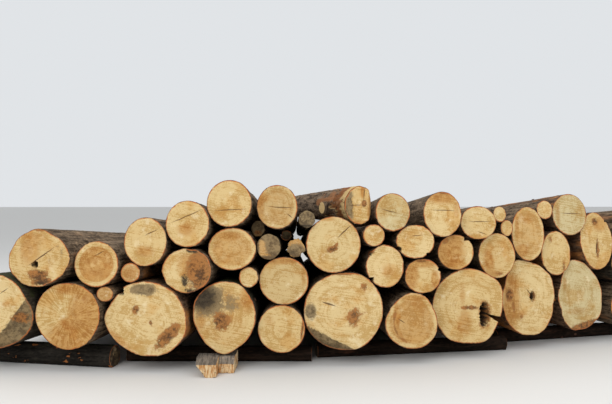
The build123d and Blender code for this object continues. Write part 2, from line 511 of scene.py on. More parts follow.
@dataclass(frozen=True)
class SawnFinish:
    """Sawn end grain: growth rings, rays, saw marks, stains, cracks and the inner bark's rim, with painted
    shade in the cracks, notches and pits.

    The fields are the scales of its rings and saw marks, the tones that multiply the sound
    wood's colour (deep, warm and brown), and the colours of the rest.
    """

    name: str = "sawn_end"
    ring_scale: float = 30.0
    saw_scale: float = 75.0
    deep: tuple = (0.76, 0.64, 0.45)
    warm: tuple = (0.88, 0.70, 0.46)
    pale: tuple = (0.72, 0.60, 0.37)
    brown: tuple = (0.84, 0.66, 0.46)
    brown_dark: tuple = (0.68, 0.46, 0.27)
    rot: tuple = (0.33, 0.135, 0.035)
    rot_dark_and_crack_shade: tuple = (0.055, 0.018, 0.006)
    grey: tuple = (0.24, 0.168, 0.082)
    grey_dark: tuple = (0.072, 0.047, 0.024)
    black: tuple = (0.008, 0.006, 0.004)
    black_light: tuple = (0.05, 0.035, 0.02)
    rim: tuple = (0.42, 0.125, 0.03)
    bark: tuple = (0.075, 0.035, 0.02)

    def material(self) -> Material:
        """Build the material.

        Returns:
            The finished material.
        """
        w = MaterialWriter(self.name)
        section = w.attribute("section")["Vector"]
        edge = w.attribute("edge")["Fac"]
        fine = w.noise(section, 85.0, 3.0, 0.65)
        lines = w.line_noise(w.attribute("saw")["Fac"], self.saw_scale)
        colour = self._stained_and_shaded(w, section, self._sound(w, section, edge, fine, lines))
        height = w.add(w.times(lines, 0.4), w.times(fine, 0.5))
        # Painted shade: where a crack gapes it is darkened in the dark rot colour, and the bump sinks it.
        for name in ("crack_a", "crack_b"):
            gap = self._gap(w, section, name)
            colour = w.blend(w.times(gap, 0.8), colour, self.rot_dark_and_crack_shade)
            height = w.math("SUBTRACT", height, gap)
        ragged = w.add(edge, w.sway(w.noise(section, 30.0), 0.016))
        shown = w.ease(w.noise(section, 11.0), 0.38, 0.6, 0.3, 1.0)
        colour = w.blend(w.times(w.ease(ragged, 0.016, 0.007), shown), colour, self.rim)
        colour = w.blend(w.ease(ragged, 0.005, 0.0015), colour, self.bark)
        return w.shine(colour, height, w.ease(fine, 0.2, 0.8, 0.72, 0.9), 0.55, 0.003)

    def _sound(self, w: MaterialWriter, section: Socket, edge: Socket, fine: Socket,
               lines: Socket) -> Socket:
        """Give the colour of the sound wood.

        Args:
            w: The material's writer.
            section: The place in the log.
            edge: The distance in from the rim.
            fine: The fine grain.
            lines: The saw marks.

        Returns:
            The colour.
        """
        tint = w.attribute("tint")
        blotch = w.noise(section, 6.0, 4.0, 0.6)
        ray = w.noise(w.attribute("ray")["Vector"], 15.0, 3.0, 0.6)
        rings = w.line_noise(w.add(edge, w.times(w.noise(section, 4.5, 2.0), 0.09)), self.ring_scale)
        ray_share = w.times(tint["Alpha"], 1.6)
        shares = ((blotch, 0.9), (rings, 0.5), (ray, ray_share), (fine, 0.75), (lines, 0.42))
        light = w.add(0.5, *(w.sway(pattern, share) for pattern, share in shares))
        colour = w.blend(w.ease(light, 0.58, 0.34), tint["Color"], w.tone(tint["Color"], self.deep))
        shown = w.ease(w.noise(section, 3.6, 4.0), 0.52, 0.64, 0.0, 0.75)
        colour = w.blend(shown, colour, w.tone(colour, self.warm))
        return w.blend(w.ease(w.noise(section, 8.5, 5.0, 0.7), 0.56, 0.68, 0.0, 0.55), colour, self.pale)

    def _stained_and_shaded(self, w: MaterialWriter, section: Socket, colour: Socket) -> Socket:
        """Lay the stains and the painted shade over the wood, with torn edges.

        Args:
            w: The material's writer.
            section: The place in the log.
            colour: The wood's colour.

        Returns:
            The colour with its stains and painted shade.
        """
        stain_and_shade = w.attribute("stain_and_shade")
        channels = w.node("ShaderNodeSeparateColor", {0: stain_and_shade["Color"]}).node.outputs
        crumb, patchy = w.noise(section, 34.0, 5.0, 0.75), w.noise(section, 13.0, 4.0, 0.65)
        rough = w.add(w.times(crumb, 0.5), w.times(patchy, 0.5))
        brown, brown_dark = w.tone(colour, self.brown), w.tone(colour, self.brown_dark)
        steps = (
            (stain_and_shade["Alpha"], brown, brown_dark, 1.3, 0.95, 0.08, 0.80),
            (channels[Stains.GREY.value], self.grey, self.grey_dark, 2.4, 0.93, 0.30, 0.75),
            (channels[Stains.ROT.value], self.rot, self.rot_dark_and_crack_shade, 3.0, 0.95, 0.30, 0.75),
            # The black channel holds the wood's black marks and the painted shade.
            (channels[Stains.BLACK.value], self.black_light, self.black, 3.0, 0.95, 0.30, 0.75),
        )
        for mask, light, dark, torn, most, low, high in steps:
            shown = w.ease(w.add(mask, w.sway(rough, torn)), low, high)
            shown = w.times(shown, w.ease(mask, 0.02, 0.3, 0.0, most))
            colour = w.blend(shown, colour, w.blend(w.ease(rough, 0.41, 0.58), dark, light))
        return colour

    def _gap(self, w: MaterialWriter, section: Socket, name: str) -> Socket:
        """Give where a crack gapes.

        Args:
            w: The material's writer.
            section: The place in the log.
            name: The crack's attribute.

        Returns:
            A mask, 1 in the crack.
        """
        off, along, width = w.parts(w.attribute(name)["Vector"])
        off = w.math("ABSOLUTE", w.add(off, w.sway(w.noise(section, 16.0), 0.014)))
        wide = w.math("SUBTRACT", 1.0, w.math("POWER", w.math("ABSOLUTE", along), 2.0), clamp=True)
        return w.ease(w.math("SUBTRACT", w.times(width, wide), off), -0.0015, 0.002)


@dataclass(frozen=True)
class BarkFinish:
    """Bark in long streaks and flakes, with lichen, moss and spots of bare wood, its furrows darkened partly
    with painted shade.

    Args:
        name: The material's name.
        low: The colour in the furrows: partly the bark's own darker colour, partly painted shade.
        high: The colour of the outer bark.
        patch: The colour of the patches where outer bark is gone.
        patches: How much of the bark the patches take, from 0 to 1.
        moss: How much moss lies on the upper side, from 0 to 1.
        spots: How strong the spots of bare wood are, from 0 to 1.
        torn: How far from the butt the bark is torn off.
    """

    name: str
    low: tuple = (0.028, 0.018, 0.011)
    high: tuple = (0.215, 0.15, 0.095)
    patch: tuple = (0.23, 0.12, 0.06)
    patches: float = 0.3
    moss: float = 0.0
    spots: float = 0.0
    torn: float = 0.0

    def material(self) -> Material:
        """Build the material.

        Returns:
            The finished material.
        """
        w = MaterialWriter(self.name)
        section = w.attribute("section")["Vector"]
        streak = w.noise(w.stretch(section, (1.0, 1.0, 0.13)), 26.0, 4.0, 0.65)
        flake = w.noise(w.stretch(section, (1.0, 1.0, 0.35)), 60.0, 4.0, 0.7)
        wide = w.noise(w.stretch(section, (1.0, 1.0, 0.3)), 5.0, 4.0, 0.6)
        body = w.add(w.times(streak, 0.55), w.times(flake, 0.45))
        # Darker low in the bump: the furrows' own colour and painted shade.
        colour = w.blend(w.ease(body, 0.38, 0.64), self.low, self.high)
        gone = w.ease(wide, 0.72 - self.patches * 0.4, 0.80 - self.patches * 0.3)
        colour = w.blend(gone, colour, self.patch)
        lichen = w.ease(w.noise(section, 13.0), 0.56, 0.68, 0.0, 0.6)
        colour = w.blend(lichen, colour, w.tone(colour, (1.7, 1.65, 1.55)))
        if self.moss:
            green = w.add(w.times(w.upward(), 0.35), w.noise(section, 9.0, 4.0, 0.7))
            shade = w.blend(flake, (0.014, 0.018, 0.006), (0.06, 0.062, 0.024))
            grown = w.ease(green, 0.95 - self.moss * 0.5, 1.1 - self.moss * 0.5, 0.0, 0.8)
            colour = w.blend(grown, colour, shade)
        if self.spots:
            bare = w.ease(w.noise(w.stretch(section, (1.0, 1.0, 0.5)), 12.0), 0.60, 0.64, 0.0, self.spots)
            colour = w.blend(bare, colour, (0.36, 0.13, 0.04))
        if self.torn:
            colour = self._torn(w, section, wide, colour)
        return w.shine(colour, body, w.ease(flake, 0.2, 0.8, 0.78, 0.95), 1.0, 0.012, 0.06)

    def _torn(self, w: MaterialWriter, section: Socket, wide: Socket, colour: Socket) -> Socket:
        """Tear the bark off behind the butt, with frayed wood under it and painted shade in its crevices.

        Args:
            w: The material's writer.
            section: The place in the log.
            wide: The wide pattern of the bark.
            colour: The bark's colour.

        Returns:
            The colour of bark and wood.
        """
        back = w.attribute("bare")["Fac"]
        shreds = w.stretch(section, (1.0, 1.0, 0.28))
        edge = w.add(back, w.sway(wide, 2.5), w.sway(w.noise(shreds, 17.0, 5.0, 0.75), 2.6))
        strip = w.add(w.noise(shreds, 11.0, 5.0, 0.75), w.ease(back, 0.10, 0.24, 0.20, -0.04))
        wood = w.blend(w.ease(strip, 0.46, 0.62), (0.20, 0.075, 0.025), (0.50, 0.345, 0.15))
        # Painted shade: dark streaks in the frayed wood stand for its crevices.
        crevice_shade = w.ease(w.noise(shreds, 30.0, 4.0, 0.7), 0.46, 0.36, 0.0, 0.85)
        wood = w.blend(crevice_shade, wood, (0.06, 0.025, 0.012))
        return w.blend(w.ease(edge, self.torn, self.torn - 0.12), colour, wood)


@dataclass(frozen=True)
class SplitFinish:
    """Split wood: torn fibres along the grain, bright where it is fresh, with bark on top."""

    name: str = "split_wood"
    fresh: tuple = (0.42, 0.19, 0.055)
    pale: tuple = (0.66, 0.50, 0.29)
    dirt: tuple = (0.09, 0.05, 0.025)
    crust: tuple = (0.215, 0.175, 0.135)
    crust_dark: tuple = (0.10, 0.082, 0.064)
    grain: tuple = (26.0, 3.0, 6.0)

    def material(self) -> Material:
        """Build the material.

        Returns:
            The finished material.
        """
        w = MaterialWriter(self.name)
        place = w.node("ShaderNodeTexCoord", {}, "Object")
        fibre = w.noise(w.stretch(place, self.grain), 2.2, 4.0, 0.65)
        colour = w.blend(w.ease(fibre, 0.38, 0.62), self.fresh, self.pale)
        colour = w.blend(w.ease(w.noise(place, 26.0, 4.0, 0.7), 0.58, 0.66, 0.0, 0.8), colour, self.dirt)
        crust = w.blend(w.ease(fibre, 0.4, 0.6), self.crust_dark, self.crust)
        colour = w.blend(w.ease(w.upward(), 0.25, 0.5), colour, crust)
        return w.shine(colour, fibre, 0.85, 0.9, 0.006)


@dataclass(frozen=True)
class FloorFinish:
    """A plain pale floor."""

    name: str = "pale_floor"
    colour: tuple = (0.62, 0.61, 0.59)
    roughness: float = 0.9

    def material(self) -> Material:
        """Build the material.

        Returns:
            The finished material.
        """
        w = MaterialWriter(self.name)
        w.plug(w.shader.inputs["Base Color"], self.colour)
        w.plug(w.shader.inputs["Roughness"], self.roughness)
        return w.material


FINISHES = (
    SawnFinish(),
    BarkFinish("grey_bark"),
    BarkFinish("red_bark", (0.035, 0.02, 0.012), (0.19, 0.115, 0.07), (0.33, 0.135, 0.042), 0.62),
    BarkFinish("moss_bark", (0.014, 0.012, 0.009), (0.075, 0.06, 0.042), moss=0.6),
    BarkFinish("bearer_bark", (0.007, 0.006, 0.005), (0.028, 0.024, 0.019), patches=0, moss=0.25, spots=0.9),
    # Bark darkened with painted shade, for the bearers set back in the shade of the stack.
    BarkFinish("painted_shade_bark", (0.004, 0.003, 0.002), (0.026, 0.015, 0.010), (0.045, 0.018, 0.010), 0.2),
    BarkFinish("torn_bark", (0.025, 0.015, 0.010), (0.24, 0.17, 0.11), (0.27, 0.12, 0.05), 0.35, torn=0.75),
    SplitFinish(),
    FloorFinish(),
)


@dataclass
class BarkScatter:
    """Geometry nodes that lay loose bark scales and cut branch stubs on a stem.

    Args:
        stubs: The number of stubs per square metre of bark.
        scale_sizes: The least and the greatest half length, width and thickness of a scale.
        stub_sizes: The least and the greatest radii and length of a stub.
    """

    stubs: float = 1.3
    scale_sizes: tuple = ((0.014, 0.007, 0.0012), (0.036, 0.015, 0.003))
    stub_sizes: tuple = ((0.010, 0.010, 0.014), (0.021, 0.021, 0.022))

    def __post_init__(self) -> None:
        """Build the node group, ready to be put on stems."""
        self.group = bpy.data.node_groups.new("bark_scatter", "GeometryNodeTree")
        inputs = {"Stem": "Geometry", "Bark": "Material", "Cut wood": "Material",
                  "Scales per square metre": "Float", "Stubs per square metre": "Float", "Seed": "Int"}
        for name, kind in inputs.items():
            self.group.interface.new_socket(name, in_out="INPUT", socket_type=f"NodeSocket{kind}")
        self.group.interface.new_socket("Stem", in_out="OUTPUT", socket_type="NodeSocketGeometry")
        w = NodeWriter(self.group)
        start = w.node("NodeGroupInput", {}).node.outputs
        scale = w.node("GeometryNodeMeshIcoSphere", {"Radius": 1.0, "Subdivisions": 1})
        stub = w.node("GeometryNodeMeshCylinder", {"Vertices": 10, "Radius": 1.0, "Depth": 1.0})
        scales = self._strew(w, scale, self.scale_sizes, start["Scales per square metre"], start["Bark"])
        stubs = self._strew(w, stub, self.stub_sizes, start["Stubs per square metre"], start["Cut wood"])
        join = w.node("GeometryNodeJoinGeometry", {})
        for part in (start["Stem"], scales, stubs):
            w.plug(join.node.inputs[0], part)
        w.plug(self.group.nodes.new("NodeGroupOutput").inputs[0], join)

    def _strew(self, w: NodeWriter, shape: Socket, sizes: tuple, density: Socket, finish: Socket) -> Socket:
        """Strew a shape over the bark.

        Args:
            w: The group's writer.
            shape: The shape.
            sizes: Its least and greatest size.
            density: Its number per square metre.
            finish: Its finish.

        Returns:
            The realized copies in their finish.
        """
        start = density.node.outputs
        on_bark = w.node("GeometryNodeMaterialSelection", {0: start["Bark"]})
        spread = {"Mesh": start["Stem"], "Selection": on_bark, "Density": density, "Seed": start["Seed"]}
        points = w.node("GeometryNodeDistributePointsOnFaces", spread, "Points")
        limits = {0: sizes[0], 1: sizes[1], "Seed": start["Seed"]}
        size = w.node("FunctionNodeRandomValue", limits, data_type="FLOAT_VECTOR")
        turn = points.node.outputs["Rotation"]
        copies = {"Points": points, "Rotation": turn, "Scale": size, "Instance": shape}
        real = w.node("GeometryNodeRealizeInstances", {0: w.node("GeometryNodeInstanceOnPoints", copies)})
        return w.node("GeometryNodeSetMaterial", {0: real, "Material": finish})

    def lay(self, piece: Object, bark: Material, cut: Material, scales: float, seed: int) -> None:
        """Lay scales and stubs on a stem and make them part of its mesh.

        Args:
            piece: The stem.
            bark: Its bark.
            cut: The finish of the stubs.
            scales: The number of scales per square metre.
            seed: The seed of their places.
        """
        values = {"Bark": bark, "Cut wood": cut, "Scales per square metre": scales,
                  "Stubs per square metre": self.stubs, "Seed": seed}
        modifier = piece.modifiers.new("bark_scatter", "NODES")
        modifier.node_group = self.group
        for item in self.group.interface.items_tree:
            if item.in_out == "INPUT" and item.name in values:
                modifier[item.identifier] = values[item.name]
        bpy.context.view_layer.update()
        ready = piece.evaluated_get(bpy.context.evaluated_depsgraph_get())
        mesh = bpy.data.meshes.new_from_object(ready)
        piece.modifiers.clear()
        piece.data = mesh


class Workshop:
    """What all pieces are finished with: the materials, by name, and the scatter of bark."""

    def __init__(self) -> None:
        """Build each of them once."""
        self.finishes = {finish.name: finish.material() for finish in FINISHES}
        self.scatter = BarkScatter()


def put(name: str, mesh: Mesh) -> Object:
    """Put a mesh into the scene as a piece.

    Args:
        name: The piece's name.
        mesh: Its mesh, in the stored frame.

    Returns:
        The piece.
    """
    piece = bpy.data.objects.new(name, mesh)
    bpy.context.scene.collection.objects.link(piece)
    return piece


def triangles(piece: Object) -> int:
    """Count a piece's triangles."""
    return sum(len(face.vertices) - 2 for face in piece.data.polygons)


def hand_over(piece: Object, node: str) -> None:
    """Keep a piece in the solids' box, let it stand for its solid, and report it.

    Args:
        piece: The piece.
        node: The node of its solid.
    """
    low, high = (np.array(corner) for corner in CAD_BOX)
    count = len(piece.data.vertices)
    places = np.empty(count * 3)
    piece.data.vertices.foreach_get("co", places)
    places = np.clip(places.reshape(count, 3), low + BOX_MARGIN, high - BOX_MARGIN)
    piece.data.vertices.foreach_set("co", places.ravel())
    piece.data.update()
    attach(piece, BODY)
    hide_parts(node)
    LOG.info("%s: %d triangles", piece.name, triangles(piece))


def cad_points(node: str) -> Array:
    """Give the corners of a node's solid, in the stored frame."""
    solid = bpy.data.objects[node]
    return np.array([solid.matrix_world @ corner.co for corner in solid.data.vertices])


def fractal(place: Vector) -> float:
    """Give noise at a place, about 0.5 in the middle of its range."""
    return noise.fractal(place, 0.6, 2.0, 3) * 0.5 + 0.5


def roughness(places: Array, size: float, seed: float) -> Array:
    """Give smooth noise from 0 to 1 at places. The seed shifts it, and the size is that of its features."""
    shift = Vector((seed * 7.31, seed * 3.17, seed * 5.73))
    return np.clip(np.array([fractal(Vector(place) / size + shift) for place in places]), 0, 1)


def skin(name: str, places: Array, zones: Sequence[Zone]) -> Mesh:
    """Make the mesh of rings of corners, closed at both ends.

    Args:
        name: The mesh's name.
        places: The corners' places, ring after ring.
        zones: Each ring's zone. The band before a ring on the side has the second material.

    Returns:
        The mesh.
    """
    around = len(places) // len(zones)
    faces, kinds = [tuple(range(around))], [0]
    for row, zone in enumerate(zones[1:]):
        near, far = row * around, (row + 1) * around
        for i in range(around):
            j = (i + 1) % around
            faces.append((near + i, far + i, far + j, near + j))
        kinds += [int(zone == Zone.SIDE)] * around
    faces.append(tuple(range(len(places) - 1, len(places) - around - 1, -1)))
    kinds.append(0)
    mesh = bpy.data.meshes.new(name)
    mesh.from_pydata(places.tolist(), [], faces)
    mesh.polygons.foreach_set("material_index", kinds)
    mesh.polygons.foreach_set("use_smooth", [True] * len(faces))
    mesh.set_sharp_from_angle(angle=radians(50))
    mesh.update()
    return mesh


@dataclass
class Piece:
    """A piece of the stack, built over its solid.

    Each kind of piece has its own kind, slot, finishes and shape.

    Args:
        node: The node of its solid.
    """

    node: str
    scales = 0.0

    def add_extra(self, piece: Object) -> None:
        """Add what only some pieces have. A plain one has nothing more."""

    def build(self, seed: int, shop: Workshop) -> Object:
        """Build the piece and let it stand for its solid.

        Args:
            seed: The seed of its unevenness.
            shop: What it is finished with.

        Returns:
            The piece.
        """
        mesh = self.shape(seed)
        finishes = [shop.finishes[name] for name in self.finishes()]
        for finish in finishes:
            mesh.materials.append(finish)
        piece = put(f"{self.node}_{self.kind}", mesh)
        self.add_extra(piece)
        if self.scales:
            shop.scatter.lay(piece, finishes[1], finishes[0], self.scales, seed)
        hand_over(piece, self.node)
        return piece


@dataclass
class RoundWood(Piece):
    """Round wood with bark.

    Args:
        traits: How its cut ends look.
        bark: The name of its bark's finish.
        scales: The number of loose bark scales per square metre.
    """

    traits: Traits
    bark: str
    scales: float = 26.0

    def finishes(self) -> tuple:
        """Name the finishes of its sawn ends and its bark."""
        return "sawn_end", self.bark

    def paint(self, mesh: Mesh, marks: Array, edges: Array, zones: Array, seed: int) -> None:
        """Write the attributes that the finishes read.

        Args:
            mesh: The mesh.
            marks: Each corner's place right, up and along.
            edges: Each corner's distance in from the rim.
            zones: Each corner's zone.
            seed: The shift that makes the piece's patterns its own.
        """
        traits = self.traits
        u, v = marks[:, 0], marks[:, 1]
        pith_u, pith_v = u - traits.pith[0] * MM, v - traits.pith[1] * MM
        away = np.maximum(np.hypot(pith_u, pith_v), 1e-4)
        crack_a, crack_b = (*traits.cracks, NO_CRACK, NO_CRACK)[:2]
        crack_v = v + FAR_OFF * (zones != Zone.FACE)
        values = {
            "section": marks + np.array((seed * 1.7, seed * 0.9, seed * 2.3)),
            "ray": np.stack([pith_u / away, pith_v / away, away * 0.5 + seed], axis=1),
            "crack_a": crack_a.marks(u, crack_v),
            "crack_b": crack_b.marks(u, crack_v),
            "edge": edges + traits.worn * MM,
            "bare": marks[:, 2],
            "saw": turned(u, v, SAW_TURN)[0] + seed,
            # The stain_and_shade attribute holds the stains and, in its black channel, painted shade.
            "stain_and_shade": traits.stained_and_shaded(u, v, edges, zones),
            "tint": np.tile((*traits.wood.value, traits.rays), (len(u), 1)),
        }
        for name, corners in values.items():
            kind, entry = ATTRIBUTE_KINDS[corners.size // len(u)]
            layer = mesh.attributes.new(name, kind, "POINT")
            layer.data.foreach_set(entry, np.asarray(corners, dtype=np.float32).ravel())


@dataclass
class Stem(RoundWood):
    """A log's stem: sawn butt, bark and sawn top end.

    Args:
        around: The number of corners in a ring.
        face_rows: The number of rings on the butt.
        side_rows: The number of rings along the bark.
        end_rows: The number of steps in to the middle of the top end.
        rim_rows: How far in from the rim the butt's last two inner rings lie.
        rim_back: How far the rim stands back behind the butt's face.
        row_gap: The least distance between rings behind a cut.
    """

    kind = "stem"
    slot = "log"
    around: int = 92
    face_rows: int = 20
    side_rows: int = 44
    end_rows: int = 7
    rim_rows: tuple = (0.018, 0.007)
    rim_back: float = 0.0035
    row_gap: float = 0.003

    def measure(self) -> None:
        """Take the stem's outline, middle line and taper from its solid."""
        points = cad_points(self.node)
        near_tip = np.linalg.norm(points - np.array(TIP), axis=1)
        self._read_ring(points[near_tip < near_tip.min() + 1.0])
        to_tip = np.array(TIP) - self.top
        reach = -to_tip @ self.out
        self.swell = (reach + LOG_LENGTH) / reach
        self.butt = np.array(TIP) - to_tip * self.swell

    def _read_ring(self, ring: Array) -> None:
        """Read the plane, middle and polar outline of the top end.

        Args:
            ring: The top end's corners.
        """
        middle = ring.mean(axis=0)
        out = np.linalg.svd(ring - middle)[2][2]
        self.out = out if out[1] < 0 else -out
        self.right = np.cross((0, 0, 1), self.out)
        self.right /= np.linalg.norm(self.right)
        self.up = np.cross(self.out, self.right)
        u, v = (ring - middle) @ self.right, (ring - middle) @ self.up
        u0, v0 = (u.max() + u.min()) / 2, (v.max() + v.min()) / 2
        self.top = middle + self.right * u0 + self.up * v0
        turns, reach = np.arctan2(v - v0, u - u0), np.hypot(u - u0, v - v0)
        order = np.argsort(turns)
        self.turns, self.reach = turns[order], reach[order]

    def _spread(self) -> Array:
        """Spread the corners round the stem, closer together at its notches.

        Returns:
            The turn of each corner, in radians.
        """
        fine = np.linspace(-pi, pi, 2000)
        weight = np.ones_like(fine)
        for cut in self.traits.cuts:
            if isinstance(cut, Notch):
                off = np.angle(np.exp(1j * (fine - radians(cut.facing))))
                weight += 3.0 * np.exp(-(off / 0.16) ** 2)
        run = np.cumsum(weight)
        return np.interp(np.arange(self.around) / self.around, (run - run[0]) / (run[-1] - run[0]), fine)

    def _rows(self, mean: float) -> list:
        """Lay out the rings, from the butt's pith to the middle of the top end.

        Args:
            mean: The butt's mean radius.

        Returns:
            Each ring's zone, its share of the radius, and how far back it lies.
        """
        inner, outer = (1 - far_in / mean for far_in in self.rim_rows)
        shares = [inner * row / self.face_rows for row in (0.02, *range(1, self.face_rows + 1))]
        runs = [(row / self.side_rows) ** 1.5 for row in range(1, self.side_rows + 1)]
        ends = [1 - (row / self.end_rows) ** 1.3 for row in range(1, self.end_rows)]
        rows = [(Zone.FACE, share, 0.0) for share in (*shares, outer, 1.0)]
        rows += [(Zone.SIDE, 1.0, LOG_LENGTH * run) for run in runs]
        return rows + [(Zone.END, share, LOG_LENGTH) for share in ends]

    def shape(self, seed: int) -> Mesh:
        """Build the stem's mesh, with its attributes.

        Args:
            seed: The seed of its unevenness.

        Returns:
            The mesh.
        """
        self.measure()
        turns = self._spread()
        reach = np.interp(turns, self.turns, self.reach, period=2 * pi) * self.swell
        rows = self._rows(reach.mean())
        c, s = np.cos(turns), np.sin(turns)
        wander = roughness(np.stack([c * 1.5, s * 1.5, np.zeros_like(c)], axis=1), 0.8, seed)
        reach = reach - (wander * self.traits.ragged + 1.5) * MM
        places, marks, edges = [], [], []
        for number, (zone, share, run) in enumerate(rows):
            u, v = reach * share * c, reach * share * s
            deep = np.max([cut.depth(u, v) for cut in self.traits.cuts] + [np.zeros_like(u)], axis=0)
            if zone == Zone.FACE:
                along = deep + (self.rim_back if share == 1.0 else 0.0)
            elif zone == Zone.SIDE:
                along = np.clip(deep + self.row_gap * (number - self.face_rows), run, LOG_LENGTH)
            else:
                along = np.full_like(u, run)
            size = 1 + (1 / self.swell - 1) * along / LOG_LENGTH
            middle = self.butt + np.outer(along / LOG_LENGTH, self.top - self.butt)
            places.append(middle + np.outer(u * size, self.right) + np.outer(v * size, self.up))
            marks.append(np.stack([u * size, v * size, along], axis=1))
            edges.append(reach * (1 - share))
        places, marks, edges = np.concatenate(places), np.concatenate(marks), np.concatenate(edges)
        ring_zones = [zone for zone, share, run in rows]
        zones = np.repeat(ring_zones, self.around)
        self._weather(places, marks, zones, seed)
        mesh = skin(self.node, places, ring_zones)
        self.paint(mesh, marks, edges, zones, seed)
        return mesh

    def _weather(self, places: Array, marks: Array, zones: Array, seed: int) -> None:
        """Give the bark its relief and the stem its fullness, and make the butt a little uneven.

        Args:
            places: Each corner's place, which is changed.
            marks: Each corner's place right, up and along.
            zones: Each corner's zone.
            seed: The seed of the relief.
        """
        away = places - (self.butt + np.outer(marks[:, 2] / LOG_LENGTH, self.top - self.butt))
        away /= np.maximum(np.linalg.norm(away, axis=1), 1e-6)[:, None]
        relief = roughness(marks * np.array((1, 1, 0.22)), 0.05, seed) * FINE_RELIEF
        relief += roughness(marks * np.array((1, 1, 0.5)), 0.35, seed + 3) * WIDE_RELIEF
        full = FULLNESS * np.sin(np.clip(marks[:, 2] / LOG_LENGTH, 0, 1) * pi)
        side, face = zones == Zone.SIDE, zones == Zone.FACE
        places[side] -= (away * ((relief - RELIEF_OUT - full) * MM)[:, None])[side]
        push = roughness(marks[face], 0.12, seed + 9) * FACE_RELIEF
        places[face] -= np.outer(push * MM, self.out)


@dataclass
class SkewStem(Stem):
    """The log that lies askew across the top, with its split butt and cut-off limb.

    Args:
        share: The top end's size as a share of the butt's.
        limb_along: How far behind the butt the limb stands.
        limb_reach: The limb's length from the stem's middle line.
        limb_radius: The limb's radius.
        limb_high: Its height as a share of its width.
        limb_turn: The limb's direction in plan, in degrees from the stack's right.
        limb_sides: The number of corners round it.
        limb_drop: How far below the stem's middle line it stands, as a share of its radius.
    """

    share: float = 0.75
    limb_along: float = 0.85
    limb_reach: float = 0.235
    limb_radius: float = 0.050
    limb_high: float = 1.4
    limb_turn: float = 222.0
    limb_sides: int = 24
    limb_drop: float = 0.5

    def measure(self) -> None:
        """Take the outline from the top end, and the butt's middle from its top and foot."""
        points = cad_points(self.node)
        back = points @ np.array((-sin(STACK_TURN), cos(STACK_TURN), 0))
        self._read_ring(points[back > back.max() - 0.01])
        front = points[back < back.min() + 0.002]
        head, foot = front[front[:, 2].argmax()], front[front[:, 2].argmin()]
        self.butt = (head + foot) / 2
        self.swell = 1 / self.share

    def add_extra(self, piece: Object) -> None:
        """Add the limb: a short tapered round with a pale cut end, rooted in the stem.

        Args:
            piece: The stem.
        """
        root = Vector(self.butt + (self.top - self.butt) * self.limb_along / LOG_LENGTH)
        way_turn = radians(self.limb_turn) + STACK_TURN
        way = Vector((cos(way_turn), sin(way_turn), 0))
        side = Vector((-way.y, way.x, 0))
        work = bmesh.new()
        work.from_mesh(piece.data)
        rings = []
        for far, size in ((0.10, 1.25), (0.15, 1.1), (self.limb_reach - 0.004, 1.0), (self.limb_reach, 0.9)):
            rings.append([])
            for step in range(self.limb_sides):
                turn = 2 * pi * step / self.limb_sides
                round_it = side * cos(turn) + Vector((0, 0, sin(turn) * self.limb_high - self.limb_drop))
                rings[-1].append(work.verts.new(root + way * far + round_it * self.limb_radius * size))
        for near, far in zip(rings, rings[1:]):
            for i in range(self.limb_sides):
                j = (i + 1) % self.limb_sides
                face = work.faces.new((near[i], near[j], far[j], far[i]))
                face.material_index = 1
                face.smooth = True
        work.faces.new(rings[-1]).material_index = 0
        layers = work.verts.layers
        for corner in (corner for ring in rings for corner in ring):
            corner[layers.float_color["tint"]] = (*Wood.CREAM.value, 0.2)
            corner[layers.float_color["stain_and_shade"]] = (0, 0, 0, 0.3)
            corner[layers.float["bare"]] = 1.0
            corner[layers.float["edge"]] = 0.02
            corner[layers.float_vector["section"]] = corner.co
            for name in ("crack_a", "crack_b"):
                corner[layers.float_vector[name]] = (FAR_OFF, FAR_OFF, 0)
        work.to_mesh(piece.data)
        work.free()


